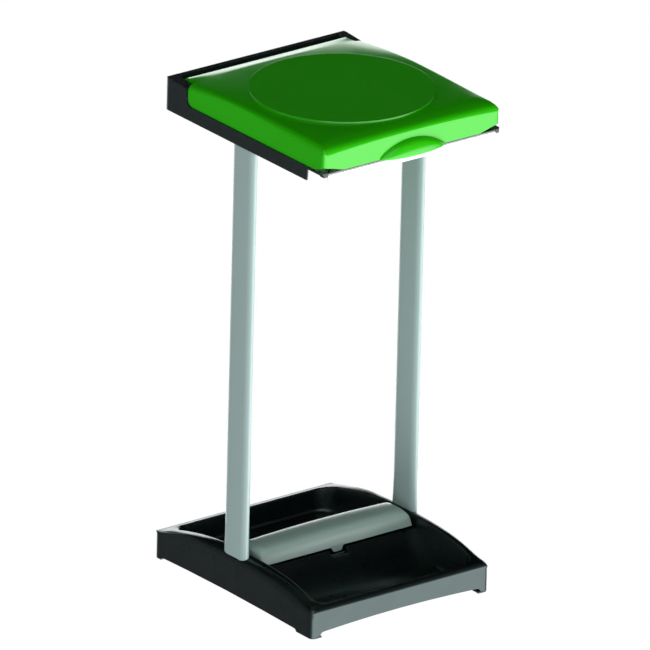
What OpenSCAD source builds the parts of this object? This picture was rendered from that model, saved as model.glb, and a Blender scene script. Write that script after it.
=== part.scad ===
// Free-standing waste-bag stand with a hinged lid.
// Units are millimetres. +X is the user's right, -Y is the front (grip side), +Z is up.
// The origin lies on the floor, under the centre of the overall outline.

/* [Base tray] */
// Width of the base tray
base_w = 404; // [396:1:420]
// Depth of the base tray
base_d = 472; // [464:1:480]
// Height of the front rim
rim_front = 57; // [50:1:62]
// Height of the rear rim
rim_rear = 53; // [48:1:60]
// Height of the side rims beside the posts
rim_mid = 85; // [80:1:88]
// Wall thickness of the tray
tray_t = 3; // [2.5:0.5:4]

/* [Posts] */
// Thickness of a post, side to side
post_t = 14; // [12:1:15]
// Width of a post, front to back
post_w = 66; // [56:1:68]
// Distance of a post's centre from the middle plane
post_x = 192; // [190:0.5:192]
// Height of the top of the posts
post_top = 898; // [880:1:899]
// Wall of the post tube
post_wall = 1.6; // [1.2:0.1:2.2]

/* [Frame and lid] */
// Underside of the frame skirt
skirt_z = 877; // [872:1:880]
// Top of the frame's flange, which the lid closes on
rim_z = 903; // [902:0.5:903]
// Diameter of the raised disc on the lid
disc_d = 340; // [300:2:344]
// Height of the raised disc
top_z = 960; // [957:0.5:964]
// How far the finger grip stands out
grip_out = 18; // [10:1:22]

/* [Hidden] */
$fn = 48;
e = 0.01;
y_off = 6.5;             // the base centre sits behind the origin, because the grip stands out in front
bw = base_w / 2;
bd = base_d / 2;
post_y = 4;              // centre of the posts, front to back
socket_z = 24;           // floor of the post sockets
gap = 0.15;              // slip clearance of a post in its socket
fr_w = 202;              // half width of the frame
fr_f = -235;             // front of the frame
fr_r = 240;              // rear of the frame
lid_w = 199.5;           // half width of the lid
hinge = [193, 925];      // lid hinge axis, y and z
cov_ax = [14, 66];       // cover hinge axis, y and z
cl_ax = [-231.6, 898.4]; // clamp hinge axis, y and z
open_x = 150;            // half width of the bag opening
open_f = -190;           // front of the bag opening
open_r = 150;            // rear of the bag opening
disc_y = -24;            // centre of the disc, front to back
screw_y = [-14, 14];     // screw places along a post, from its centre
buffer_y = [-213, 120];  // buffer places, front to back

module place() translate([0, y_off, 0]) children();
// a rounded rectangle in plan between two corners
module rrect(x0, x1, y0, y1, r) {
  for (x = [x0 + r, x1 - r], y = [y0 + r, y1 - r]) translate([x, y]) circle(r);
  translate([x0 + r, y0]) square([x1 - x0 - 2 * r, y1 - y0]);
  translate([x0, y0 + r]) square([x1 - x0, y1 - y0 - 2 * r]);
}
// a front-to-back, up-down outline carried across the width
module across(x0, x1) translate([x0, 0, 0]) rotate([90, 0, 90]) linear_extrude(x1 - x0) children();
// a side-to-side, up-down outline carried along the depth
module along(y0, y1) translate([0, y1, 0]) rotate([90, 0, 0]) linear_extrude(y1 - y0) children();
// the flat-oval section of the posts
module oval(t, w) {
  translate([-t / 2, -(w - t) / 2]) square([t, w - t]);
  for (s = [-1, 1]) translate([0, s * (w - t) / 2]) circle(t / 2);
}
// height of the side rim at a place front to back
function rim_at(y) =
  let (f = -bd, r = bd)
  y < -100 ? rim_front + (rim_mid - rim_front) * (0.5 - 0.5 * cos(180 * max(0, min(1, (y - f - 18) / (-100 - f - 18)))))
  : y < 70 ? rim_mid
  : rim_rear + (rim_mid - rim_rear) * (0.5 + 0.5 * cos(180 * min(1, (y - 70) / (r - 82))));
module rim_outline(drop = 0) polygon(concat([[-bd - 1, -1]],
  [for (i = [0:36]) let (y = -bd - 1 + (base_d + 2) * i / 36) [y, rim_at(y) - drop]], [[bd + 1, -1]]));

// outline of the sloped front of the compartment
module slope_outline(low = 0) polygon([[-140, 12.5 - 6 * low], [-124, 14.5], [-112, 19], [-99.8, 25.4], [-85, 33.5], [-70.4, 43.7], [-58, 55], [-49, 64.5],
  [-48, 66], [-46.5, 66], [-46.5, 12.5 - 6 * low]]);

/* tray: skirted outside, two basins, a compartment between the posts */
module base_tray() place() color("#1d2122") difference() {
  union() {
    difference() {
      intersection() {
        translate([0, 0, 3]) linear_extrude(100) rrect(-bw, bw, -bd, bd, 10);
        across(-bw - 1, bw + 1) rim_outline();
        // rounded shoulders of the side rims
        along(-bd - 1, bd + 1) { translate([-bw, -1]) square([2 * bw, rim_front - 10]);
          rrect(-bw, bw, 0, 100, 14); }
      }
      // front basin
      translate([0, 0, 13]) linear_extrude(100) rrect(-170, 170, -bd + 13, -49, 28);
      // rear basin
      translate([0, 0, 13]) linear_extrude(100) rrect(-171, 171, 27, bd - 11, 32);
      // spare-roll compartment
      translate([-163, -44, 20]) cube([326, 66, 80]);
      // the middle lies lower than the side rims
      translate([-173, -50, 66]) cube([346, 78, 60]);
      translate([-174, 21, 54]) cube([348, 34, 60]);
      // recess for the finger tab of the cover
      translate([-18, -60, 56]) cube([36, 17, 20]);
      // open underside
      translate([0, 0, -1]) linear_extrude(11) rrect(-bw + tray_t, bw - tray_t, -bd + tray_t, bd - tray_t, 7);
      intersection() {
        across(-bw, bw) rim_outline(tray_t);
        union() for (s = [-1, 1]) {
          translate([s * 186.5 - 12.5, 46, 9]) cube([25, bd - 60, 90]);
          translate([s * 186.5 - 12.5, -bd + 14, 9]) cube([25, bd - 14 - 38, 90]);
        }
        along(-bd, bd) rrect(-bw + tray_t, bw - tray_t, 0, 97, 12);
      }
      translate([-170, -bd + 3, 9]) cube([340, 7, 42]);
      translate([-170, bd - 8, 9]) cube([340, 5, 38]);
      translate([-160, -45, 9]) cube([320, 68, 8]);
      // arched lower edges between the feet
      for (s = [-1, 1]) translate([s * bw, 20, -596.4]) rotate([0, 90, 0]) cylinder(r = 606, h = 8, center = true, $fn = 180);
      for (s = [-1, 1]) translate([0, s * bd, -1486]) rotate([90, 0, 0]) cylinder(r = 1500, h = 8, center = true, $fn = 180);
    }
    // sloped front of the compartment, hollow from below
    difference() {
      across(-173, 173) slope_outline();
      across(-171, 171) offset(delta = -2.8) slope_outline(1);
      translate([-18, -60, 56]) cube([36, 17, 20]);
    }
    // corner feet
    intersection() {
      translate([0, 0, 3]) linear_extrude(10.5) rrect(-bw, bw, -bd, bd, 10);
      for (sx = [-1, 1]) { translate([sx * (bw - 12) - 12, -bd, 3]) cube([24, 50, 10.5]);
        translate([sx * (bw - 12) - 12, bd - 22, 3]) cube([24, 22, 10.5]); }
    }
    // floors under the post sockets, and pads behind the screw heads
    for (s = [-1, 1]) translate([s * post_x - 10, post_y - 32, 10]) cube([20, 64, socket_z - 10]);
  }
  // post sockets
  for (s = [-1, 1]) translate([s * post_x, post_y, socket_z]) linear_extrude(100) oval(post_t + 2 * gap, post_w + 2 * gap);
  // screw holes from below, with sunk heads
  for (s = [-1, 1], d = screw_y) translate([s * post_x, post_y + d, 0]) {
    cylinder(d = 5.2, h = 40); cylinder(d = 10.4, h = 17); }
  // bores for the cover pins
  for (s = [-1, 1]) translate([s * 165.5, cov_ax[0], cov_ax[1] ]) rotate([0, 90, 0]) cylinder(d = 4.1, h = 13, center = true);
  for (s = [-1, 1]) translate([s * 166.5 - 3.5, cov_ax[0] - 5, cov_ax[1]]) cube([7, 10, 10]);
  // peg holes of the foot pads
  for (sx = [-1, 1]) { translate([sx * (bw - 13), -bd + 26, 2]) cylinder(d = 8, h = 8);
    translate([sx * (bw - 13), bd - 12, 2]) cylinder(d = 8, h = 8); }
}

module foot_pad(sx, front) place() color("#161818") {
  y0 = front ? -bd : bd - 20;
  y1 = front ? -bd + 48 : bd;
  intersection() {
    linear_extrude(3) rrect(-bw + 0.5, bw - 0.5, -bd + 0.5, bd - 0.5, 9.5);
    translate([sx > 0 ? bw - 23 : -bw, y0, 0]) cube([23, y1 - y0, 3]);
  }
  translate([sx * (bw - 13), front ? -bd + 26 : bd - 12, 0]) cylinder(d = 7.8, h = 9);
}
module foot_pad_front_left() foot_pad(-1, true);
module foot_pad_front_right() foot_pad(1, true);
module foot_pad_rear_left() foot_pad(-1, false);
module foot_pad_rear_right() foot_pad(1, false);

module post(s) place() color("#9aa5a3") translate([s * post_x, post_y, socket_z]) difference() {
  linear_extrude(post_top - socket_z) oval(post_t, post_w);
  translate([0, 0, -1]) linear_extrude(post_top - socket_z + 2) oval(post_t - 2 * post_wall, post_w - 2 * post_wall);
}
module post_left() post(-1);
module post_right() post(1);

// ribbed plug inside the end of a post, with two pilot holes
module plug(s, z0, h) place() color("#3a3f40") translate([s * post_x, post_y, z0]) difference() {
  union() {
    linear_extrude(h) oval(post_t - 2 * post_wall - 1.4, post_w - 2 * post_wall - 1.4);
    for (z = [3:9:h - 5]) translate([0, 0, z]) linear_extrude(2.5)
      oval(post_t - 2 * post_wall - 0.2, post_w - 2 * post_wall - 0.2);
  }
  for (d = screw_y) translate([0, d, -1]) cylinder(d = 4.1, h = h + 2);
}
module foot_plug_left() plug(-1, socket_z, 40);
module foot_plug_right() plug(1, socket_z, 40);
module head_plug_left() plug(-1, post_top - 36, 36);
module head_plug_right() plug(1, post_top - 36, 36);

// countersunk self-tapping screws
module screw(l) { cylinder(d1 = 8.6, d2 = 4.4, h = 3); cylinder(d = 3.9, h = l); translate([0, 0, l - e]) cylinder(d1 = 3.9, d2 = 1, h = 4);}
module base_screws() place() color("#c8ccce") for (s = [-1, 1], d = screw_y)
  translate([s * post_x, post_y + d, 17]) difference() { union() { translate([0, 0, -0.5]) cylinder(d = 9.6, h = 0.45, $fn = 32); translate([0, 0, -0.3]) cylinder(d = 3.9, h = 26.3); translate([0, 0, 26 - e]) cylinder(d1 = 3.9, d2 = 1.2, h = 3); translate([0, 0, -2.4]) cylinder(d1 = 7, d2 = 9.6, h = 1.91); }
    translate([0, 0, -3]) cylinder(d = 2.6, h = 3.4, $fn = 6); }
module frame_screws() place() color("#c8ccce") for (s = [-1, 1], d = screw_y)
  translate([s * post_x, post_y + d, post_top + 2]) rotate([180, 0, 0]) difference() { union() { cylinder(d = 3.9, h = 24); translate([0, 0, 24 - e]) cylinder(d1 = 3.9, d2 = 1.2, h = 3); translate([0, 0, -2.4]) cylinder(d = 8, h = 2.4); }
    translate([0, 0, -2.6]) cylinder(d = 2.6, h = 1.8, $fn = 6); }

// the cover's outline from front to back
module cover_outline(t = 0) polygon([[-46 + t, 69.5 - 3 * sign(t)], [-40.5 + t, 99.5 - t], [-37 + t, 103 - t], [-29, 105.6 - t], [-18, 106.4 - t], [-6, 105.4 - t],
  [6, 103 - t], [16 - t * 0.6, 99.8 - t], [20.5 - t, 97 - t], [22 - t, 93.5 - t], [22.5 - t, 62 - 3 * sign(t)]]);
module cover_ends(t = 0) polygon(concat([[-171 + t, 40], [-170.4 + t, 69.5]],
  [for (i = [0:6]) let (a = i * 15) [-163 + t * 0.5 - 5 * cos(a) * (1 + 0.2 * (6 - i) / 6), 86 + 16 * sin(a) - t]],
  [for (i = [0:8]) let (x = -150 + i * 37.5) [x, 102.8 + 3.4 * (1 - pow(x / 150, 2)) - t]],
  [for (i = [6:-1:0]) let (a = i * 15) [163 - t * 0.5 + 5 * cos(a) * (1 + 0.2 * (6 - i) / 6), 86 + 16 * sin(a) - t]],
  [[170.4 - t, 69.5], [171 - t, 40]]));
module roll_cover() place() color("#98a3a0") difference() {
  union() {
    difference() {
      intersection() { across(-172, 172) cover_outline(); along(-60, 40) cover_ends(); }
      intersection() { across(-172, 172) cover_outline(2.4); along(-60, 40) cover_ends(2.4); }
      // the ends stop above the side rims
      translate([-180, -39, 55]) cube([360, 56, 16.5]);
      for (s = [-1, 1]) translate([s * 168 - 7, 7, 55]) cube([14, 24, 21.5]);
    }
    // hinge ears
    for (s = [-1, 1]) translate([s * 158 - 2, 0, 0]) across(0, 4) {
      translate(cov_ax) circle(5.6);
      translate([cov_ax[0] - 5.6, cov_ax[1]]) square([11.2, 29]);
    }
    // finger tab
    along(-46, -43.4) polygon([[-14, 72], [-8, 60], [8, 60], [14, 72]]);
  }
  for (s = [-1, 1]) translate([s * 158, cov_ax[0], cov_ax[1]]) rotate([0, 90, 0]) cylinder(d = 4.1, h = 8, center = true);
}
module cover_pin(s) place() color("#c8ccce") translate([s * 162.5, cov_ax[0], cov_ax[1]]) rotate([0, 90, 0]) cylinder(d = 4, h = 17, center = true);
module cover_pin_left() cover_pin(-1);
module cover_pin_right() cover_pin(1);

/* the frame: flange, skirt, collar for the bag, and the raised hinge housing at the rear */
module opening(g, r) rrect(-open_x - g, open_x + g, open_f - g, open_r + g, r + g);
module frame_side() polygon(concat([[fr_f - 1, rim_z - 4], [fr_f - 1, rim_z], [157, rim_z]],
  [for (i = [0:6]) let (a = i * 15) [157 + 14 * sin(a), rim_z + 14 - 14 * cos(a)]],
  [[171.5, 934], [173, 936], [fr_r - 10, 940], [fr_r - 4, 937], [fr_r + 1, 930], [fr_r + 1, skirt_z], [-187, skirt_z],
   [-188.5, skirt_z + 2], [-190, rim_z - 4]]));
// outline of the frame seen from above, drawn in by t; the rear corners have the larger radius
module frame_outline(t = 0) intersection() {
  rrect(-fr_w + t, fr_w - t, fr_f + t, fr_r - t, 9 - t * 0.75);
  rrect(-fr_w + t, fr_w - t, fr_f - 60, fr_r - t, 17 - t);
}
module top_frame() place() color("#23282b") difference() {
  union() {
    // skirt and housing, hollow from below
    difference() {
      intersection() {
        translate([0, 0, skirt_z - 1]) linear_extrude(80) frame_outline();
        across(-fr_w - 1, fr_w + 1) frame_side();
      }
      translate([0, 0, skirt_z - 2]) linear_extrude(rim_z - 3 - skirt_z + 2) frame_outline(2.6);
      // room for the lid between the housing's cheeks
      translate([-180, 150, rim_z]) cube([360, 70, 60]);
      // hollow of the housing
      translate([-177, 222.6, rim_z - 4]) cube([354, 14.4, 32]);
      for (s = [-1, 1]) intersection() {
        translate([s * 191 - 7.6, 205, rim_z - 4]) cube([15.2, 32, 30]);
        translate([0, 0, rim_z - 5]) linear_extrude(40) frame_outline(2.8);
      }
      // bag opening
      translate([0, 0, rim_z - 10]) linear_extrude(20) opening(0, 34);
      // the front edge steps back behind the clamp
      translate([-189.6, fr_f - 2, rim_z - 30]) cube([379.2, 7.2, 29]);
    }
    // collar that the bag folds over
    translate([0, 0, skirt_z + 3]) linear_extrude(rim_z - skirt_z - 4) difference() { opening(2.4, 34); opening(0, 34); }
    // bead that keeps the band on the collar
    translate([0, 0, skirt_z + 3]) linear_extrude(1.6) difference() { opening(4.2, 34); opening(0, 34); }
    // sockets over the post heads
    for (s = [-1, 1]) translate([s * post_x, post_y, skirt_z + 1]) intersection() {
      linear_extrude(rim_z - skirt_z - 2) oval(post_t + 7, post_w + 7);
      translate([-15, -50, 0]) cube([s > 0 ? 15 + fr_w - 2 - post_x : 30, 100, 40]);
      translate([s > 0 ? -15 : -(fr_w - 2 - post_x), -50, 0]) cube([30, 100, 40]);
    }
    // ribs between the collar and the skirt
    for (s = [-1, 1], y = [-130, -70, 80, 130]) translate([s > 0 ? open_x + 6 : -fr_w + 1, y - 1, skirt_z + 10]) cube([fr_w - open_x - 7, 2, rim_z - skirt_z - 12]);
    // corner blocks that carry the clamp
    for (s = [-1, 1]) translate([s * 194 - 4, fr_f + 1.5, rim_z - 8]) cube([8, 12, 6]);
  }
  // post sockets and their screws
  for (s = [-1, 1]) translate([s * post_x, post_y, skirt_z - 2]) linear_extrude(post_top - skirt_z + 2 + 0.1) oval(post_t + 2 * gap, post_w + 2 * gap);
  for (s = [-1, 1], d = screw_y) translate([s * post_x, post_y + d, post_top - 5]) { cylinder(d = 4.6, h = 20); translate([0, 0, 7]) cylinder(d = 9, h = 20); }
  // seats of the lid pins
  for (s = [-1, 1]) translate([s * 187, hinge[0], hinge[1]]) rotate([0, 90, 0]) cylinder(d = 6.04, h = 18, center = true);
  // seats of the clamp pins
  for (s = [-1, 1]) translate([s * 191.5, cl_ax[0], cl_ax[1]]) rotate([0, 90, 0]) cylinder(d = 2.04, h = 5, center = true);
}
module bag_band() place() color("#2b2b2b") translate([0, 0, skirt_z + 6]) linear_extrude(9) difference() { opening(4.8, 34); opening(2.5, 34); }

// the clamp bar hangs from its pins in front of the frame
module bag_clamp() place() color("#e6e9e8") difference() {
  union() {
    across(-188.6, 188.6) {
      translate([fr_f, 888]) square([2.6, cl_ax[1] - 888]);
      translate([fr_f + 1.3, 888]) circle(1.3);
      translate(cl_ax) circle(1.9);
      translate([fr_f, cl_ax[1] - 3]) square([3.4, 3.3]);
    }
    for (x = [-150, -75, 0, 75, 150]) translate([x - 1, fr_f + 1, 888.5]) cube([2, 3.2, 7]);
  }
  for (s = [-1, 1]) translate([s * 187, cl_ax[0], cl_ax[1]]) rotate([0, 90, 0]) cylinder(d = 2.1, h = 9, center = true);
}
module clamp_pin(s) place() color("#c8ccce") translate([s * 188.3, cl_ax[0], cl_ax[1]]) rotate([0, 90, 0]) cylinder(d = 2, h = 9, center = true);
module clamp_pin_left() clamp_pin(-1);
module clamp_pin_right() clamp_pin(1);

/* the lid: crowned shell with a raised disc, a finger grip and a rounded hinge edge */
function crown(x, h, y0, y1) = h * (1 - pow(2 * (x - (y0 + y1) / 2) / (y1 - y0), 2));
module lid_profile(t = 0) polygon(concat([[fr_f + t, rim_z + 0.6 - sign(t) * 3], [fr_f + t, 939 - t], [fr_f + 5 + t, 946 - t], [fr_f + 14 + t, 950.5 - t]],
  [for (i = [0:12]) let (y = -205 + i * 28.5) [y, 952.5 + crown(y, 3, -205, 137) - t]],
  [[150, 952 - t], [166, 949.6 - t], [180, 946.3 - t]],
  [for (i = [0:9]) let (a = 90 - i * 14) [hinge[0] + (18 - t) * cos(a), hinge[1] + (18 - t) * sin(a)]],
  [[hinge[0] - 3, hinge[1] - 17 + t * 0.5], [hinge[0] - 12, rim_z + 0.6 - sign(t) * 3]]));
module lid_section(t = 0) polygon(concat([[-lid_w + t, 890], [-lid_w + t, 944 - t]],
  [for (i = [1:5]) let (a = i * 18) [-lid_w + t + 9 - 9 * cos(a), 944 - t + 9 * sin(a)]],
  [for (i = [0:10]) let (x = -185 + i * 37) [x, 953.4 + crown(x, 2.6, -185, 185) - t]],
  [for (i = [5:-1:1]) let (a = i * 18) [lid_w - t - 9 + 9 * cos(a), 944 - t + 9 * sin(a)]],
  [[lid_w - t, 944 - t], [lid_w - t, 890]]));
module lid_plan(t = 0) { rrect(-lid_w + t, lid_w - t, fr_f + t, 168 - t, 7);
  translate([-178.6 + t, 100]) square([357.2 - 2 * t, 130]); }
module grip(r, dz) translate([0, fr_f + 135, rim_z - 0.8 + dz]) intersection() {
  cylinder(r1 = 135 + grip_out - r, r2 = 135 - r, h = 29, $fn = 180);
  translate([-100, -170, 0]) cube([200, 36.6, 40]);
}
module lid() place() color("#1c7a12") difference() {
  union() {
    difference() {
      union() {
        intersection() {
          translate([0, 0, 880]) linear_extrude(100) lid_plan();
          across(-210, 210) lid_profile();
          along(-260, 260) lid_section();
        }
        translate([0, disc_y, 950]) cylinder(d = disc_d, h = top_z - 950 - 1.4, $fn = 128);
        translate([0, disc_y, top_z - 1.4 - e]) cylinder(d1 = disc_d, d2 = disc_d - 6, h = 1.4 + e, $fn = 128);
      }
      intersection() {
        translate([0, 0, 870]) linear_extrude(100) lid_plan(2.6);
        across(-210, 210) lid_profile(2.6);
        along(-260, 260) lid_section(2.6);
      }
      translate([0, disc_y, 940]) cylinder(d = disc_d - 6, h = top_z - 942.8, $fn = 128);
      // the lower rear corners of the side walls clear the frame's fillet
      for (s = [-1, 1]) difference() {
        translate([s * 192 - 12.6, 154, 895]) cube([25.2, 20, 22.6]);
        across(-210, 210) translate([154, 917.6]) circle(14, $fn = 64);
      }
      // the lower edge lifts towards the front corners
      for (s = [-1, 1]) along(fr_f - 5, fr_f + 9) polygon([[s * 154, 895], [s * 156, rim_z + 0.6], [s * 180, rim_z + 7], [s * 201, rim_z + 11], [s * 201, 895]]);
    }
    difference() { grip(0, 0); translate([0, 0, -e]) grip(2.6, -1.5); translate([-100, fr_f + 2.6, 890]) cube([200, 20, 50]); translate([-100, fr_f - 0.4, 890]) cube([200, 10, 13.6]); }
    // columns that carry the buffers
    intersection() {
      for (s = [-1, 1], y = buffer_y) translate([s * 172, y, rim_z + 3.4]) cylinder(d = 10, h = 60);
      across(-210, 210) lid_profile(1);
      along(-260, 260) lid_section(1);
    }
    // cheeks that carry the hinge bores
    for (s = [-1, 1]) translate([s * 174.2 - 3.8, 0, 0]) intersection() {
      across(0, 7.6) { translate(hinge) circle(11); polygon([[hinge[0] - 11, hinge[1] - 3], [hinge[0] - 11, 946], [hinge[0] + 2, 940], [hinge[0] + 10, hinge[1]]]); }
      across(0, 7.6) lid_profile();
    }
  }
  for (s = [-1, 1]) translate([s * 174, hinge[0], hinge[1]]) rotate([0, 90, 0]) cylinder(d = 6.1, h = 14, center = true);
  // seats of the buffers
  for (s = [-1, 1], y = buffer_y) translate([s * 172, y, rim_z + 2]) cylinder(d = 5.1, h = 9);
}
module lid_pin(s) place() color("#c8ccce") translate([s * 182.5, hinge[0], hinge[1]]) rotate([0, 90, 0]) cylinder(d = 6, h = 24, center = true);
module lid_pin_left() lid_pin(-1);
module lid_pin_right() lid_pin(1);
// soft stops that the closed lid rests on
module lid_buffers() place() color("#202020") for (s = [-1, 1], y = buffer_y) translate([s * 172, y, rim_z + 0.4]) { cylinder(d = 9, h = 3); cylinder(d = 5, h = 9); }

base_tray();
foot_pad_front_left();
foot_pad_front_right();
foot_pad_rear_left();
foot_pad_rear_right();
post_left();
post_right();
foot_plug_left();
foot_plug_right();
head_plug_left();
head_plug_right();
base_screws();
frame_screws();
roll_cover();
cover_pin_left();
cover_pin_right();
top_frame();
bag_band();
bag_clamp();
clamp_pin_left();
clamp_pin_right();
lid();
lid_pin_left();
lid_pin_right();
lid_buffers();
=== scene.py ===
import bpy, bmesh, math
import numpy as np
from mathutils import Vector, Matrix


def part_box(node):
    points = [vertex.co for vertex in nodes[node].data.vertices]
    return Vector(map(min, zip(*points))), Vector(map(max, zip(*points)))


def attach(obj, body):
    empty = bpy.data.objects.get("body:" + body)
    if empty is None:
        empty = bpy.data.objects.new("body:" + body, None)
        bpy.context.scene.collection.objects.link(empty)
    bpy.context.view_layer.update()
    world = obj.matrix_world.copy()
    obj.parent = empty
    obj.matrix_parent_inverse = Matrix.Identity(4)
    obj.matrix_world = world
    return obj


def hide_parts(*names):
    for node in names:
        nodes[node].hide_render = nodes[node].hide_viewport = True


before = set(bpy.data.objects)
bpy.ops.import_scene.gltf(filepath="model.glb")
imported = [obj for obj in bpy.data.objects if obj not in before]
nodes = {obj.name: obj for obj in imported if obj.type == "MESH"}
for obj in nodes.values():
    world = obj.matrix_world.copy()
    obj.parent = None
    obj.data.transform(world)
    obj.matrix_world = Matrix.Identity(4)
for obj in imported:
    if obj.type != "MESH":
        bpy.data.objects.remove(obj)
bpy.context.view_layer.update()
PI = math.pi

# ---------------------------------------------------------------- places taken from the frame
def box_mm(node):
    lo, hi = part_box(node)
    return [c * 1000 for c in lo], [c * 1000 for c in hi]

tray_lo, tray_hi = box_mm("base_tray")
YO = (tray_lo[1] + tray_hi[1]) / 2            # row y of the middle of the base, mm
BW = (tray_hi[0] - tray_lo[0]) / 2            # half width of the base
BD = (tray_hi[1] - tray_lo[1]) / 2            # half depth of the base
post_lo, post_hi = box_mm("post_left")
PX = -(post_lo[0] + post_hi[0]) / 2
PY = (post_lo[1] + post_hi[1]) / 2 - YO
PT = post_hi[0] - post_lo[0]
PW = post_hi[1] - post_lo[1]
lid_lo, lid_hi = box_mm("lid")
LW = (lid_hi[0] - lid_lo[0]) / 2
TOP = lid_hi[2]
fr_lo, fr_hi = box_mm("top_frame")
FW = (fr_hi[0] - fr_lo[0]) / 2
FF = fr_lo[1] - YO
FR = fr_hi[1] - YO
SK = fr_lo[2]
LR = lid_hi[1] - YO                           # rear of the lid's barrel
cov_lo, cov_hi = box_mm("roll_cover")
CX = (cov_hi[0] - cov_lo[0]) / 2


def lerp(a, b, t):
    return a + (b - a) * t


def table(keys, vals):
    k, v = np.array(keys, float), np.array(vals, float)

    def f(q):
        return float(np.interp(q, k, v))
    return f


def smooth_table(keys, vals):
    """piecewise cubic through the points, without overshoot"""
    k, v = np.array(keys, float), np.array(vals, float)
    d = np.diff(v) / np.diff(k)
    m = np.zeros(len(k))
    m[0], m[-1] = d[0], d[-1]
    for i in range(1, len(k) - 1):
        m[i] = 0 if d[i - 1] * d[i] <= 0 else 2 * d[i - 1] * d[i] / (d[i - 1] + d[i])

    def f(q):
        q = min(max(q, k[0]), k[-1])
        i = min(int(np.searchsorted(k, q, side="right")) - 1, len(k) - 2)
        h = k[i + 1] - k[i]
        t = (q - k[i]) / h
        return float((2 * t**3 - 3 * t**2 + 1) * v[i] + (t**3 - 2 * t**2 + t) * h * m[i]
                     + (-2 * t**3 + 3 * t**2) * v[i + 1] + (t**3 - t**2) * h * m[i + 1])
    return f


# ---------------------------------------------------------------- mesh helpers (millimetres, base-centred)
class Build:
    def __init__(self):
        self.v, self.f = [], []

    def loop(self, pts):
        i = len(self.v)
        self.v += [tuple(map(float, p)) for p in pts]
        return list(range(i, i + len(pts)))

    def band(self, a, b, closed=True, flip=False):
        n = len(a)
        for i in range(n if closed else n - 1):
            j = (i + 1) % n
            q = (a[i], a[j], b[j], b[i])
            self.f.append(q[::-1] if flip else q)

    def cap(self, a, flip=False):
        self.f.append(tuple(a[::-1]) if flip else tuple(a))

    def prism(self, ring_a, ring_b):
        """closed solid between two loops with the same count"""
        a, b = self.loop(ring_a), self.loop(ring_b)
        self.band(a, b)
        self.cap(a, True)
        self.cap(b)


def piece(name, b, body, replaces=(), mat=None, angle=32, weld=1e-3, bevel=None, solid=None):
    me = bpy.data.meshes.new(name)
    me.from_pydata([(x / 1000, (y + YO) / 1000, z / 1000) for x, y, z in b.v], [], b.f)
    bm = bmesh.new()
    bm.from_mesh(me)
    bmesh.ops.remove_doubles(bm, verts=bm.verts, dist=weld / 1000)
    bmesh.ops.dissolve_degenerate(bm, edges=bm.edges, dist=1e-7)
    bmesh.ops.recalc_face_normals(bm, faces=bm.faces)
    bm.to_mesh(me)
    bm.free()
    ob = bpy.data.objects.new(name, me)
    bpy.context.scene.collection.objects.link(ob)
    if solid:
        m = ob.modifiers.new("wall", "SOLIDIFY")
        m.thickness = solid / 1000
        m.offset = -1
        m.use_even_offset = True
        m.use_rim = True
        m.thickness_clamp = 0
        dg = bpy.context.evaluated_depsgraph_get()
        new = bpy.data.meshes.new_from_object(ob.evaluated_get(dg))
        ob.modifiers.clear()
        ob.data = new
        me = new
    for p in me.polygons:
        p.use_smooth = True
    me.set_sharp_from_angle(angle=math.radians(angle))
    if bevel:
        m = ob.modifiers.new("edge", "BEVEL")
        m.width = bevel / 1000
        m.segments = 2
        m.limit_method = "ANGLE"
        m.angle_limit = math.radians(angle)
        m.harden_normals = True
        m.use_clamp_overlap = True
        m.miter_outer = "MITER_ARC"
    if mat:
        me.materials.clear()
        me.materials.append(mat)
    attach(ob, body)
    if replaces:
        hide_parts(*replaces)
    return ob


def fractions(lo, hi, n, extra=()):
    ys = sorted(set([round(v, 4) for v in np.linspace(lo, hi, n + 1)] + [float(e) for e in extra]))
    out = [ys[0]]
    for y in ys[1:]:
        if y - out[-1] > 0.8:
            out.append(y)
    out[-1] = hi
    return [(y - lo) / (hi - lo) for y in out]


def rrect(x0, x1, y0, y1, r, fx, fy, nc=10):
    """counter-clockwise rounded rectangle; fx and fy are the fractions along the straight sides"""
    bl, br, tr, tl = r if isinstance(r, (tuple, list)) else (r,) * 4
    pts = []

    def line(p, q, fr):
        for t in fr[:-1]:
            pts.append((lerp(p[0], q[0], t), lerp(p[1], q[1], t)))

    def arc(c, rad, a0):
        for i in range(nc):
            a = a0 + PI / 2 * i / nc
            pts.append((c[0] + rad * math.cos(a), c[1] + rad * math.sin(a)))
    rx = [1 - t for t in fx][::-1]
    ry = [1 - t for t in fy][::-1]
    line((x0 + bl, y0), (x1 - br, y0), fx)
    arc((x1 - br, y0 + br), br, -PI / 2)
    line((x1, y0 + br), (x1, y1 - tr), fy)
    arc((x1 - tr, y1 - tr), tr, 0)
    line((x1 - tr, y1), (x0 + tl, y1), rx)
    arc((x0 + tl, y1 - tl), tl, PI / 2)
    line((x0, y1 - tl), (x0, y0 + bl), ry)
    arc((x0 + bl, y0 + bl), bl, PI)
    return pts


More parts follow.
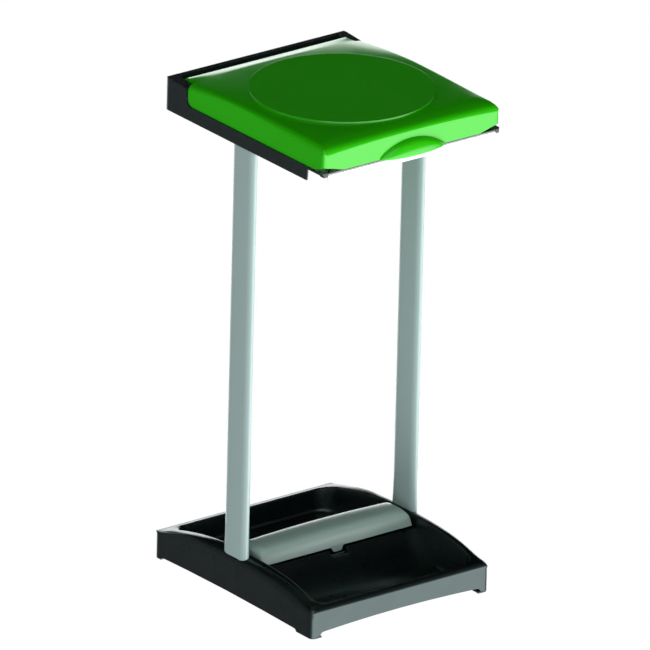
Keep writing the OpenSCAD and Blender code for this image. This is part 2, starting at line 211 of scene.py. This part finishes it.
# ---------------------------------------------------------------- materials
def moulded(name, color, rough=0.35, rough_var=0.08, grain=0.12, grain_scale=1400.0, tone=0.08, spec=0.5, coat=0.0,
            streak=False, scuff=0.0, metal=0.0, tint=None):
    """moulded or coated surface: fine grain, uneven gloss, slight tone drift and light scuffs"""
    m = bpy.data.materials.new(name)
    m.use_nodes = True
    nt = m.node_tree
    nt.nodes.clear()
    out = nt.nodes.new("ShaderNodeOutputMaterial")
    bs = nt.nodes.new("ShaderNodeBsdfPrincipled")
    nt.links.new(bs.outputs[0], out.inputs[0])
    bs.inputs["Specular IOR Level"].default_value = spec
    bs.inputs["Metallic"].default_value = metal
    if tint:
        bs.inputs["Specular Tint"].default_value = (*tint, 1)
    bs.inputs["IOR"].default_value = 1.5
    if coat:
        bs.inputs["Coat Weight"].default_value = coat
        bs.inputs["Coat Roughness"].default_value = 0.12
    tc = nt.nodes.new("ShaderNodeTexCoord")
    # tone drift
    big = nt.nodes.new("ShaderNodeTexNoise")
    big.inputs["Scale"].default_value = 9.0
    big.inputs["Detail"].default_value = 4.0
    nt.links.new(tc.outputs["Object"], big.inputs["Vector"])
    ramp = nt.nodes.new("ShaderNodeMix")
    ramp.data_type = "RGBA"
    lo = [c * (1 - tone) for c in color]
    hi = [min(1, c * (1 + tone)) for c in color]
    ramp.inputs[6].default_value = (*lo, 1)
    ramp.inputs[7].default_value = (*hi, 1)
    nt.links.new(big.outputs["Fac"], ramp.inputs[0])
    col = ramp.outputs[2]
    if scuff:
        # faint handling marks: thin stretched noise, lighter than the surface
        mp = nt.nodes.new("ShaderNodeMapping")
        mp.inputs["Scale"].default_value = (60, 14, 160)
        mp.inputs["Rotation"].default_value = (0.4, 0.3, 0.6)
        nt.links.new(tc.outputs["Object"], mp.inputs["Vector"])
        sc = nt.nodes.new("ShaderNodeTexNoise")
        sc.inputs["Scale"].default_value = 3.0
        sc.inputs["Detail"].default_value = 6.0
        sc.inputs["Roughness"].default_value = 0.7
        nt.links.new(mp.outputs[0], sc.inputs["Vector"])
        mr = nt.nodes.new("ShaderNodeMapRange")
        mr.inputs["From Min"].default_value = 0.66
        mr.inputs["From Max"].default_value = 0.80
        mr.inputs["To Min"].default_value = 0.0
        mr.inputs["To Max"].default_value = scuff
        nt.links.new(sc.outputs["Fac"], mr.inputs["Value"])
        mx = nt.nodes.new("ShaderNodeMix")
        mx.data_type = "RGBA"
        nt.links.new(mr.outputs[0], mx.inputs[0])
        nt.links.new(col, mx.inputs[6])
        mx.inputs[7].default_value = (*[min(1, c * 1.6 + 0.03) for c in color], 1)
        col = mx.outputs[2]
    nt.links.new(col, bs.inputs["Base Color"])
    # uneven gloss
    mid = nt.nodes.new("ShaderNodeTexNoise")
    mid.inputs["Scale"].default_value = 38.0
    mid.inputs["Detail"].default_value = 6.0
    mid.inputs["Roughness"].default_value = 0.6
    nt.links.new(tc.outputs["Object"], mid.inputs["Vector"])
    rr = nt.nodes.new("ShaderNodeMapRange")
    rr.inputs["From Min"].default_value = 0.3
    rr.inputs["From Max"].default_value = 0.7
    rr.inputs["To Min"].default_value = rough - rough_var / 2
    rr.inputs["To Max"].default_value = rough + rough_var / 2
    nt.links.new(mid.outputs["Fac"], rr.inputs["Value"])
    nt.links.new(rr.outputs[0], bs.inputs["Roughness"])
    # grain
    vec = tc.outputs["Object"]
    if streak:
        mp2 = nt.nodes.new("ShaderNodeMapping")
        mp2.inputs["Scale"].default_value = (1, 1, 0.04)
        nt.links.new(tc.outputs["Object"], mp2.inputs["Vector"])
        vec = mp2.outputs[0]
    fine = nt.nodes.new("ShaderNodeTexNoise")
    fine.inputs["Scale"].default_value = grain_scale
    fine.inputs["Detail"].default_value = 3.0
    nt.links.new(vec, fine.inputs["Vector"])
    vor = nt.nodes.new("ShaderNodeTexVoronoi")
    vor.inputs["Scale"].default_value = grain_scale * 0.7
    nt.links.new(vec, vor.inputs["Vector"])
    add = nt.nodes.new("ShaderNodeMath")
    add.operation = "ADD"
    nt.links.new(fine.outputs["Fac"], add.inputs[0])
    nt.links.new(vor.outputs["Distance"], add.inputs[1])
    bp = nt.nodes.new("ShaderNodeBump")
    bp.inputs["Strength"].default_value = grain
    bp.inputs["Distance"].default_value = 0.0002
    nt.links.new(add.outputs[0], bp.inputs["Height"])
    nt.links.new(bp.outputs[0], bs.inputs["Normal"])
    return m


M_TRAY = moulded("tray_black", (0.0030, 0.0045, 0.0050), rough=0.29, rough_var=0.05, grain=0.03, scuff=0.012, spec=0.72, tint=(0.76, 0.98, 0.96))
M_FRAME = moulded("frame_black", (0.0125, 0.0185, 0.019), rough=0.24, rough_var=0.06, grain=0.05, scuff=0.03)
M_POST = moulded("post_grey", (0.345, 0.445, 0.43), rough=0.24, rough_var=0.06, grain=0.05, grain_scale=900, tone=0.02, scuff=0.012)
M_COVER = moulded("cover_grey", (0.31, 0.415, 0.375), rough=0.24, rough_var=0.05, grain=0.04, tone=0.02)
M_STRIP = moulded("clamp_white", (0.84, 0.86, 0.85), rough=0.35, grain=0.05, tone=0.02)
M_LID = moulded("lid_green", (0.022, 0.43, 0.002), rough=0.14, rough_var=0.04, grain=0.022, tone=0.02, scuff=0.008, tint=(0.86, 1.0, 0.80))
M_PLUG = moulded("plug_dark", (0.05, 0.055, 0.056), rough=0.5, grain=0.15)
M_PAD = moulded("pad_rubber", (0.014, 0.018, 0.02), rough=0.42, grain=0.15)
M_BAND = moulded("band_rubber", (0.03, 0.03, 0.03), rough=0.6, grain=0.25)
M_STEEL = moulded("steel", (0.62, 0.63, 0.64), rough=0.28, grain=0.06, metal=1.0, tone=0.03)

# ---------------------------------------------------------------- base tray
edge_z = smooth_table([-236, -205, -190, -167, -150, -129, -100, -71, -41, 0, 60, 100, 142, 170, 200, 225, 236],
                      [48.2, 47.6, 48.5, 52.5, 56.5, 60.7, 65, 68.6, 70.6, 71.2, 70.4, 68.8, 65.2, 61.4, 56.0, 51.8, 50.4])
crest_z = smooth_table([-236, -224, -210, -190, -166, -130, -96, -60, 0, 54, 86, 118, 142, 166, 200, 220, 227, 236],
                       [57.0, 59.5, 63, 69.5, 76.5, 82.5, 85.5, 87, 87.6, 86.6, 83.5, 79, 74.5, 69.0, 60.4, 55.0, 53.4, 51.8])
shoulder = smooth_table([-236, -190, -60, 60, 110, 160, 236], [0.62, 0.82, 1.0, 1.0, 0.52, 0.38, 0.32])


def widen(x, y):
    """the shoulder along the sides narrows towards the rear and a little towards the front"""
    q, f = BW - abs(x), shoulder(y)
    if q <= 20:
        q = q * f
    elif q < 70:
        q = 20 * f + (q - 20) * (70 - 20 * f) / 50
    return math.copysign(BW - q, x)


side_bottom = table([-236, -189, -184.5, -100, 20, 140, 216, 220.5, 236], [2.2, 2.2, 5.2, 7.2, 8.6, 7.4, 5.2, 2.2, 2.2])
front_bottom = table([0, 60, 120, 174, 179, 184, 204], [15.6, 15.0, 13.2, 10.6, 9.6, 4.0, 2.2])
fxT = fractions(-BW + 10, BW - 10, 30, (-184, -179, -174, 174, 179, 184))
fyT = fractions(-BD + 10, BD - 10, 44, (-189, -184.5, 216, 220.5))


def tray_ring(ins, inf, inr, rad):
    return rrect(-BW + ins, BW - ins, -BD + inf, BD - inr, rad, fxT, fyT)


t = Build()
outer = tray_ring(0, 0, 0, 10)


def bottom_of(p):
    x, y = p
    if abs(y) > BD - 9.99 and abs(x) < BW - 9.99:
        return front_bottom(abs(x))
    return side_bottom(y)


rings = []
rings.append([(x, y, bottom_of((x, y))) for x, y in outer])
rings.append([(x, y, max(edge_z(y) - 14, 16)) for x, y in outer])
rings.append([(x, y, edge_z(y) - 3) for x, y in outer])
for s in (0, 0.015, 0.045, 0.09, 0.15, 0.23, 0.33, 0.45, 0.58, 0.72, 0.86, 1.0):
    ring = tray_ring(20 * s, 9 * s, 14 * s, (10 + 4 * s, 10 + 4 * s, 10 + 12 * s, 10 + 12 * s))
    k = math.sqrt(max(0, 1 - (1 - s) ** 2))
    kr = min(1.0, math.sqrt(max(0, 1 - (1 - min(1, s / 0.13)) ** 2)) * 0.45 + 0.55 * s)
    row = []
    for (x, y), (ox, oy) in zip(ring, outer):
        w_ = min(1, max(0, (oy - 150) / 76))
        row.append((widen(x, y), y, lerp(edge_z(oy), crest_z(y), lerp(k, kr, w_ * w_ * (3 - 2 * w_)))))
    rings.append(row)
for add, drop, rf, rr_ in ((1.2, 0.15, 20, 28), (2.2, 0.7, 25, 33), (3.0, 1.9, 28, 36), (3.4, 3.6, 28, 36)):
    ring = tray_ring(20 + add, 9 + add * 0.9, 14 + add, (rf, rf, rr_, rr_))
    rings.append([(x, y, crest_z(y) - drop) for x, y in ring])
for k in (0.3, 0.65, 1.0):
    ring = tray_ring(23.4 + 6 * k, 12.1 + 6 * k, 17.4 + 6 * k, (28 - 3 * k, 28 - 3 * k, 36 - 4 * k, 36 - 4 * k))
    rings.append([(x, y, lerp(crest_z(y) - 3.6, 21, k)) for x, y in ring])
for add, z in ((0.6, 18.6), (1.9, 16.0), (4.2, 14.0), (7.5, 13.2), (10.5, 13.0)):
    ring = tray_ring(29.4 + add, 18.1 + add, 23.4 + add, (25 - add, 25 - add, 32 - add, 32 - add))
    rings.append([(x, y, z) for x, y in ring])
idx = [t.loop(r) for r in rings]
for a, b in zip(idx, idx[1:]):
    t.band(a, b)
last = idx[-1]
t.cap(last)
tray = piece("tray_shell", t, "stand", ("base_tray",), M_TRAY, angle=40, solid=2.6)

# compartment between the basins, its sloped front and the socket blocks
d = Build()
front = [(-140, 12.2), (-124, 14.6), (-112, 19), (-99.8, 25.4), (-85, 33.8), (-70.4, 44), (-58, 55.2), (-50.5, 63.0), (-48.6, 64.8), (-46.6, 65.6), (-44, 65.6)]
back = [(-44, 20), (22, 20), (22, 54), (27, 54), (27.8, 12.2)]


def div_x(z):
    return 172.6 + (z - 21) * (6 / 61) + 1.4 if z > 21 else lerp(167, 174, (z - 12) / 9)


def div_loop(x, sgn, low):
    pts = []
    for i, (y, z) in enumerate(front):
        zz = min(z, 56.0) if low else z
        pts.append((x if x is not None else sgn * div_x(zz), y, zz))
    for y, z in back:
        pts.append((x if x is not None else sgn * div_x(z), y, z))
    return pts


stations = [(None, -1, 0), (-19, 0, 0), (-18, 0, 1), (18, 0, 1), (19, 0, 0), (None, 1, 0)]
ids = [d.loop(div_loop(*s)) for s in stations]
for a, b in zip(ids, ids[1:]):
    d.band(a, b)
d.cap(ids[0], True)
d.cap(ids[-1])
piece("tray_compartment", d, "stand", (), M_TRAY, angle=38, bevel=0.8)


# ---------------------------------------------------------------- posts
def oval_pts(hx, hy, n=14, nose=None):
    nose = nose or hy * 0.47
    flat = hy - nose
    pts = []
    for i in range(n + 1):
        a = -PI / 2 + PI / 2 * i / n
        pts.append((hx * math.cos(a), -flat + nose * math.sin(a)))
    for i in range(n + 1):
        a = PI / 2 * i / n
        pts.append((hx * math.cos(a), flat + nose * math.sin(a)))
    for i in range(n + 1):
        a = PI / 2 + PI / 2 * i / n
        pts.append((hx * math.cos(a), flat + nose * math.sin(a)))
    for i in range(n + 1):
        a = PI + PI / 2 * i / n
        pts.append((hx * math.cos(a), -flat + nose * math.sin(a)))
    out = []
    for p in pts:
        if not out or abs(p[0] - out[-1][0]) + abs(p[1] - out[-1][1]) > 1e-3:
            out.append(p)
    if abs(out[0][0] - out[-1][0]) + abs(out[0][1] - out[-1][1]) < 1e-3:
        out.pop()
    return out


z_post = [post_lo[2], 60, 70, 78, 88, 100, 115, 130, 200, 400, 600, 800, 870, post_hi[2]]
flare = table([0, 70, 85, 130, 900], [1.7, 1.7, 1.35, 0.0, 0.0])
for side, s in (("left", -1), ("right", 1)):
    p = Build()
    outs, ins = [], []
    for z in z_post:
        g = flare(z)
        o = oval_pts(PT / 2 + g * 0.25, PW / 2 + g)
        i = oval_pts(PT / 2 - 1.6 + g * 0.25, PW / 2 - 1.6 + g)
        outs.append(p.loop([(s * PX + x, PY + y, z) for x, y in o]))
        ins.append(p.loop([(s * PX + x, PY + y, z) for x, y in i]))
    for a, b in zip(outs, outs[1:]):
        p.band(a, b)
    for a, b in zip(ins, ins[1:]):
        p.band(a, b, flip=True)
    p.band(ins[0], outs[0])
    p.band(outs[-1], ins[-1])
    piece("post_tube_" + side, p, "stand", ("post_" + side,), M_POST, angle=50)

# ---------------------------------------------------------------- roll cover
prof = [(-46, 70.4), (-45.3, 74), (-43.9, 82), (-42.5, 88.5), (-41.2, 93.2), (-39.4, 96.6), (-36.6, 99.3), (-32.5, 101.4), (-27, 103.0),
        (-21, 104.0), (-14, 104.5), (-7, 104.6), (0, 104.3), (7, 103.5), (12, 102.6), (15, 101.7), (17.2, 100.2),
        (18.9, 98.0), (20.3, 94.8), (21.3, 91), (21.9, 86), (22.2, 78), (22.3, 71.2)]


def cover_top(x):
    ax = abs(x)
    base = 106.4 - 3.9 * min(1, ax / 153) ** 2
    if ax > 153:
        u = min(1, (ax - 153) / (CX - 153))
        base = 85 + (base - 85) * math.sqrt(max(0, 1 - u * u))
    return base


xs = [CX * v for v in (0, 0.12, 0.24, 0.36, 0.48, 0.6, 0.7, 0.78, 0.84, 0.88)] + [153, 157, 160.5, 163.5, 166, 168, 169.4, 170.1, CX]
xs = sorted(set([-v for v in xs] + xs))
c = Build()
rows = []
for x in xs:
    k = (cover_top(x) - 70.4) / (106.4 - 70.4)
    rows.append(c.loop([(x, y, 70.4 + (z - 70.4) * k) for y, z in prof]))
for a, b in zip(rows, rows[1:]):
    c.band(a, b, closed=False)
c.cap(rows[0], True)
c.cap(rows[-1])
cover = piece("cover_shell", c, "roll_cover", ("roll_cover",), M_COVER, angle=44, solid=2.4)
c = Build()
tab = [(-16.5, 73.5), (-14.2, 70.6), (-12.4, 68.0), (-9.2, 62.2), (-8.2, 61.0), (-6.8, 60.3), (-5.2, 60.1), (6.4, 60.1), (8.0, 60.3),
       (9.3, 61.0), (10.2, 62.2), (13.0, 68.0), (14.6, 70.6), (16.5, 73.5)]
c.prism([(x, -46.1 - 0.16 * (70 - z) * 0, z) for x, z in tab], [(x, -43.6, z) for x, z in tab])
for s in (-1, 1):
    ear = [(14 + 5.6 * math.cos(a), 66 + 5.6 * math.sin(a)) for a in [PI + PI * i / 14 for i in range(15)]] + [(19.6, 95), (8.4, 97)]
    c.prism([(s * 158 - 2, y, z) for y, z in ear], [(s * 158 + 2, y, z) for y, z in ear])
piece("cover_tab_and_ears", c, "roll_cover", (), M_COVER, angle=40, bevel=0.6)

# ---------------------------------------------------------------- lid
Z0 = 903.6
HX, HY0, HY1, STEP = LW, -235.0, 168.0, 178.6
BAR = (193.0, 925.0, 18.0)
side_drop = smooth_table([-235, -229, -195, -150, -99, -40, 11, 60, 110, 168], [20.0, 20.0, 18.4, 14.6, 10.4, 7.4, 6.6, 7.6, 9.8, 12.5])
front_drop = smooth_table([0, 40, 90, 140, 170, 193, 200], [14.0, 14.2, 15.0, 16.8, 18.4, 19.8, 20.0])


def g(u):
    if u >= 1:
        return 0.0
    u = max(u, 0)
    return 1 - math.sqrt(max(0, 1 - (1 - u) ** 2))


def lid_top(x, y):
    back = min(1.35, max(0.0, (y - 10) / 155))
    T = 956.6 - 1.9 * (x / HX) ** 2 - 6.6 * back ** 2 - 2.6 * (x / STEP) ** 2 * back ** 1.5
    u, v = HX - abs(x), y - HY0
    a = side_drop(y) * (0.24 * max(0.0, 1 - u / 50) ** 2 + 0.76 * g(u / 10.0)) if y <= HY1 + 0.01 else 0.0
    b = front_drop(abs(x)) * (0.55 * max(0.0, 1 - v / 46) ** 2 + 0.45 * g(v / 11.0))
    p = 3.0
    return T - (a ** p + b ** p) ** (1 / p)


def corner_map(x, y):
    """rounds the two front corners of the plan"""
    r = 9.0
    cx, cy = HX - r, HY0 + r
    if abs(x) > cx and y < cy:
        u, v = (abs(x) - cx) / r, (cy - y) / r
        uu, vv = u * math.sqrt(1 - v * v / 2), v * math.sqrt(1 - u * u / 2)
        return math.copysign(cx + uu * r, x), cy - vv * r
    return x, y


ins = [0, 0.25, 0.8, 1.7, 3.0, 4.6, 6.6, 9.0, 12, 15.5, 20.9, 26]
gx = sorted(set([HX - v for v in ins] + [-(HX - v) for v in ins] + [float(v) for v in np.linspace(-165, 165, 31)]))
gy = [HY0 + v for v in (0, 0.25, 0.8, 1.7, 3.0, 4.6, 6.6, 9.0, 12, 16, 21, 27)] + [float(v) for v in np.linspace(-198, 150, 32)] + [155, 159, 162, 164.5, 166.5, HY1]
L = Build()
top_id = {}
ph = math.radians(12.5)
join = (BAR[0] + BAR[2] * math.sin(ph), BAR[1] + BAR[2] * math.cos(ph))
rear_rows = [("y", yy) for yy in (172, 177, 182, 187, 192)]
for a in np.linspace(12.5, 150, 20):
    rear_rows.append(("a", math.radians(a)))


def rear_point(x, row):
    kind, v = row
    if kind == "y":
        tt = (v - HY1) / (join[0] - HY1)
        z1 = lid_top(x, HY1)
        sl0 = (lid_top(x, HY1) - lid_top(x, HY1 - 4)) / 4
        sl1 = -math.tan(ph)
        h = join[0] - HY1
        z = (2 * tt**3 - 3 * tt**2 + 1) * z1 + (tt**3 - 2 * tt**2 + tt) * h * sl0 + (-2 * tt**3 + 3 * tt**2) * join[1] + (tt**3 - tt**2) * h * sl1
        return (x, v, z)
    return (x, BAR[0] + BAR[2] * math.sin(v), BAR[1] + BAR[2] * math.cos(v))


for j, y in enumerate(gy):
    for i, x in enumerate(gx):
        mx, my = corner_map(x, y)
        top_id[i, j] = L.loop([(mx, my, lid_top(mx, my) if y < HY1 else lid_top(mx, HY1))])[0]
for j in range(len(gy) - 1):
    for i in range(len(gx) - 1):
        L.f.append((top_id[i, j], top_id[i + 1, j], top_id[i + 1, j + 1], top_id[i, j + 1]))
inner_cols = [i for i, x in enumerate(gx) if abs(x) <= STEP + 0.01]
prev = [top_id[i, len(gy) - 1] for i in inner_cols]
ends = ([prev[0]], [prev[-1]])
for row in rear_rows:
    cur = L.loop([rear_point(gx[i], row) for i in inner_cols])
    L.band(prev, cur, closed=False, flip=False)
    prev = cur
    ends[0].append(cur[0])
    ends[1].append(cur[-1])


def lid_bottom(x, y):
    z = Z0
    ax = abs(x)
    if ax > HX - 12:
        z += 10.4 * min(1, max(0, (-203 - y) / 32)) ** 1.2
        if y > 154:
            z = max(z, 917.6 - math.sqrt(max(0, 14 ** 2 - (min(y, 168) - 154) ** 2)))
    if y < HY0 + 12 and ax <= HX - 2:
        z = Z0 - 0.6 + (0 if ax < 155 else (lerp(0, 7.2, (ax - 155) / 25) if ax < 180 else lerp(7.2, 11.0, min(1, (ax - 180) / 19))))
    return z


# outer wall: walk round the boundary from the rear left to the rear right by way of the front
path = [(0, j) for j in range(len(gy) - 1, -1, -1)] + [(i, 0) for i in range(1, len(gx))] + [(len(gx) - 1, j) for j in range(1, len(gy))]
wall_top = [top_id[k] for k in path]
lo_pts = []
for k in path:
    x, y = gx[k[0]], gy[k[1]]
    mx, my = L.v[top_id[k]][0], L.v[top_id[k]][1]
    lo_pts.append((mx, my, lid_bottom(mx, my)))
mid_ring = L.loop([(p[0], p[1], lerp(L.v[wt][2], p[2], 0.12)) for p, wt in zip(lo_pts, wall_top)])
low_ring = L.loop(lo_pts)
L.band(mid_ring, wall_top, closed=False)
L.band(low_ring, mid_ring, closed=False)
# rear walls of the wide part and the ends of the barrel
for sgn, e, ci in ((-1, ends[0], 0), (1, ends[1], len(gx) - 1)):
    cols = [i for i, x in enumerate(gx) if sgn * x >= STEP - 0.01]
    cols = sorted(cols, key=lambda i: -abs(gx[i]))
    up = [top_id[i, len(gy) - 1] for i in cols]
    dn = L.loop([(gx[i], HY1, 917.6) for i in cols])
    L.band(up, dn, closed=False)
    L.f.append(tuple(e + [dn[-1]]))
lid = piece("lid_shell", L, "lid", ("lid",), M_LID, angle=38, weld=2e-2, solid=2.5)

# raised disc
DC, DR = (-3.0, -30.0), 168.5
D = Build()
n = 160
drings = []
for r, z in ((DR, 946), (DR, TOP - 0.30), (DR - 0.08, TOP - 0.08), (DR - 0.3, TOP), (DR - 1.4, TOP), (DR - 5, TOP), (DR - 12, TOP),
             (140, TOP), (110, TOP), (80, TOP), (50, TOP), (22, TOP)):
    drings.append(D.loop([(DC[0] + r * math.cos(2 * PI * i / n), DC[1] + r * math.sin(2 * PI * i / n), z) for i in range(n)]))
for a, b in zip(drings, drings[1:]):
    D.band(a, b)
D.cap(drings[-1])
inner = [D.loop([(DC[0] + r * math.cos(2 * PI * i / n), DC[1] + r * math.sin(2 * PI * i / n), z) for i in range(n)]) for r, z in ((DR - 3, 946), (DR - 3, TOP - 3), (60, TOP - 3))]
D.band(drings[0], inner[0], flip=True)
for a, b in zip(inner, inner[1:]):
    D.band(a, b, flip=True)
D.cap(inner[-1], True)
piece("lid_disc", D, "lid", (), M_LID, angle=34)

# finger grip: a lip that swells out of the lid's front
G = Build()
HB = 73.0
gxs = [HB * math.sin(PI / 2 * v) for v in np.linspace(-1, 1, 45)]
GOUT = -(lid_lo[1] - YO) + HY0               # how far the grip stands out


def grip_pt(x, th, inset):
    q = max(0.0, 1 - (x / HB) ** 2)
    b = max(0.0, GOUT * q ** 0.55 - inset)
    zt = 903.8 + 26.5 * q ** 0.85 - inset * 0.9
    zl = 903.2
    zt = max(zt, zl + 0.05)
    return (x, HY0 + 0.6 + (0 if inset == 0 else 1.0) - (b + 0.6) * math.sin(th), zl + (zt - zl) * max(0.0, math.cos(th)) ** 0.9)


ths = [PI / 2 * v for v in (0, 0.08, 0.16, 0.26, 0.36, 0.46, 0.56, 0.66, 0.76, 0.85, 0.92, 0.97, 1.0)]
og = [G.loop([grip_pt(x, th, 0) for x in gxs]) for th in ths]
lowp = G.loop([(x, y, 902.4) for x, y, z in [G.v[i] for i in og[-1]]])
og.append(lowp)
ig = [G.loop([grip_pt(x, th, 2.4) for x in gxs]) for th in ths]
lowi = G.loop([(x, y, 902.4) for x, y, z in [G.v[i] for i in ig[-1]]])
ig.append(lowi)
for a, b in zip(og, og[1:]):
    G.band(a, b, closed=False)
for a, b in zip(ig, ig[1:]):
    G.band(a, b, closed=False, flip=True)
G.band(og[-1], ig[-1], closed=False)
G.band(ig[0], og[0], closed=False)
for k in (0, -1):
    seq = [r[k] for r in og] + [r[k] for r in ig][::-1]
    G.cap(seq, flip=(k == 0))
piece("lid_grip", G, "lid", (), M_LID, angle=50, weld=5e-2)

# ---------------------------------------------------------------- CAD nodes that stay
for name, ob in nodes.items():
    if ob.hide_render:
        continue
    m = (M_PAD if name.startswith("foot_pad") else M_PLUG if "plug" in name else M_STEEL if ("screw" in name or "pin" in name)
         else M_FRAME if name == "top_frame" else M_BAND if name == "bag_band" else M_STRIP if name == "bag_clamp"
         else M_PAD if name == "lid_buffers" else M_FRAME)
    if not ob.data.materials:
        ob.data.materials.append(m)
    for i in range(len(ob.data.materials)):
        ob.material_slots[i].material = m
    for p in ob.data.polygons:
        p.use_smooth = True
    ob.data.set_sharp_from_angle(angle=math.radians(30))
    if name in ("top_frame", "bag_clamp"):
        dm = ob.modifiers.new("flat", "DECIMATE")
        dm.decimate_type = "DISSOLVE"
        dm.angle_limit = math.radians(0.5)
        bm_ = ob.modifiers.new("edge", "BEVEL")
        bm_.width = 0.0007 if name == "top_frame" else 0.0004
        bm_.segments = 2
        bm_.limit_method = "ANGLE"
        bm_.angle_limit = math.radians(40)
        bm_.harden_normals = True

# ---------------------------------------------------------------- camera
AZ, EL, ROLL = math.radians(37.974), math.radians(22.200), math.radians(1.415)
PXMM = 0.55094                                # picture pixels per millimetre, 650 across
r0 = Vector((math.cos(AZ), -math.sin(AZ), 0))
u0 = Vector((math.sin(AZ) * math.sin(EL), math.cos(AZ) * math.sin(EL), math.cos(EL)))
back_v = Vector((-math.sin(AZ) * math.cos(EL), -math.cos(AZ) * math.cos(EL), math.sin(EL)))
right = r0 * math.cos(ROLL) + u0 * math.sin(ROLL)
up = -r0 * math.sin(ROLL) + u0 * math.cos(ROLL)
origin = Vector((0, YO / 1000, 0))
target = origin + right * ((325 - 321.16) / PXMM / 1000) + up * ((573.66 - 325) / PXMM / 1000)
cd = bpy.data.cameras.new("camera")
cam = bpy.data.objects.new("camera", cd)
bpy.context.scene.collection.objects.link(cam)
dist = 40.0
cd.sensor_width = 36.0
cd.lens = PXMM * dist * 1000 * 36.0 / 650
cd.clip_start, cd.clip_end = 1.0, 200.0
rot = Matrix((right, up, back_v)).transposed()
cam.matrix_world = Matrix.Translation(target + back_v * dist) @ rot.to_4x4()
bpy.context.scene.camera = cam

# ---------------------------------------------------------------- floor
fm = bpy.data.meshes.new("floor")
fm.from_pydata([(-9, -9, 0), (9, -9, 0), (9, 9, 0), (-9, 9, 0)], [], [(0, 1, 2, 3)])
floor = bpy.data.objects.new("floor", fm)
floor.location.z = -0.0004
bpy.context.scene.collection.objects.link(floor)
mt = bpy.data.materials.new("floor_white")
mt.use_nodes = True
nt = mt.node_tree
nt.nodes.clear()
o = nt.nodes.new("ShaderNodeOutputMaterial")
mixs = nt.nodes.new("ShaderNodeMixShader")
lp = nt.nodes.new("ShaderNodeLightPath")
em = nt.nodes.new("ShaderNodeEmission")
em.inputs[0].default_value = (1, 1, 1, 1)
em.inputs[1].default_value = 1.0
tr = nt.nodes.new("ShaderNodeBsdfTransparent")
nt.links.new(lp.outputs["Is Camera Ray"], mixs.inputs[0])
nt.links.new(tr.outputs[0], mixs.inputs[1])
nt.links.new(em.outputs[0], mixs.inputs[2])
nt.links.new(mixs.outputs[0], o.inputs[0])
fm.materials.append(mt)

# ---------------------------------------------------------------- light: a soft surround
w = bpy.data.worlds.new("studio")
bpy.context.scene.world = w
w.use_nodes = True
nt = w.node_tree
nt.nodes.clear()
out = nt.nodes.new("ShaderNodeOutputWorld")
bg = nt.nodes.new("ShaderNodeBackground")
bgc = nt.nodes.new("ShaderNodeBackground")
mixw = nt.nodes.new("ShaderNodeMixShader")
lp = nt.nodes.new("ShaderNodeLightPath")
tc = nt.nodes.new("ShaderNodeTexCoord")
bgc.inputs[0].default_value = (1, 1, 1, 1)
bgc.inputs[1].default_value = 1.0
nt.links.new(lp.outputs["Is Camera Ray"], mixw.inputs[0])
nt.links.new(bg.outputs[0], mixw.inputs[1])
nt.links.new(bgc.outputs[0], mixw.inputs[2])
nt.links.new(mixw.outputs[0], out.inputs[0])


def dot_dir(v):
    n_ = nt.nodes.new("ShaderNodeVectorMath")
    n_.operation = "DOT_PRODUCT"
    nt.links.new(tc.outputs["Generated"], n_.inputs[0])
    n_.inputs[1].default_value = v
    return n_.outputs["Value"]


def ramp01(src, a, b, lo, hi):
    n_ = nt.nodes.new("ShaderNodeMapRange")
    n_.interpolation_type = "SMOOTHSTEP"
    n_.inputs["From Min"].default_value = a
    n_.inputs["From Max"].default_value = b
    n_.inputs["To Min"].default_value = lo
    n_.inputs["To Max"].default_value = hi
    nt.links.new(src, n_.inputs["Value"])
    return n_.outputs[0]


def mul(a, b):
    n_ = nt.nodes.new("ShaderNodeMath")
    n_.operation = "MULTIPLY"
    for i_, q in enumerate((a, b)):
        if isinstance(q, (int, float)):
            n_.inputs[i_].default_value = q
        else:
            nt.links.new(q, n_.inputs[i_])
    return n_.outputs[0]


def add2(a, b):
    n_ = nt.nodes.new("ShaderNodeMath")
    n_.operation = "ADD"
    nt.links.new(a, n_.inputs[0])
    nt.links.new(b, n_.inputs[1])
    return n_.outputs[0]


zc = dot_dir((0, 0, 1))
fc = dot_dir((0, -1, 0))
key = mul(mul(ramp01(fc, 0.25, 0.80, 0.0, 1.0), ramp01(zc, -0.14, 0.18, 1.0, 0.04)), 4.2)
rr_dir = dot_dir((0.615, 0.788, 0))
horizon = mul(mul(ramp01(rr_dir, 0.35, 0.85, 0.0, 1.0), ramp01(zc, 0.12, 0.24, 1.0, 0.0)), 2.5)
left = mul(mul(ramp01(dot_dir((-0.93, -0.36, 0)), 0.35, 0.95, 0.0, 1.0), ramp01(zc, 0.2, 0.7, 1.0, 0.0)), 0.30)
back = mul(mul(ramp01(dot_dir((-0.6, 0.8, 0)), 0.2, 0.8, 0.0, 1.0), ramp01(zc, 0.2, 0.5, 1.0, 0.0)), 0.10)
over = mul(ramp01(dot_dir((-0.50, -0.42, 0.757)), 0.72, 0.92, 0.0, 1.0), 1.05)
total = add2(add2(add2(add2(key, horizon), left), back), over)
comb = nt.nodes.new("ShaderNodeVectorMath")
comb.operation = "SCALE"
comb.inputs[0].default_value = (0.96, 1.0, 1.0)
nt.links.new(total, comb.inputs["Scale"])
nt.links.new(comb.outputs[0], bg.inputs[0])
bg.inputs[1].default_value = 1.0

scene = bpy.context.scene
scene.view_settings.view_transform = "Standard"
scene.view_settings.look = "None"
scene.view_settings.exposure = 0.0
scene.view_settings.gamma = 1.0

bpy.context.view_layer.update()
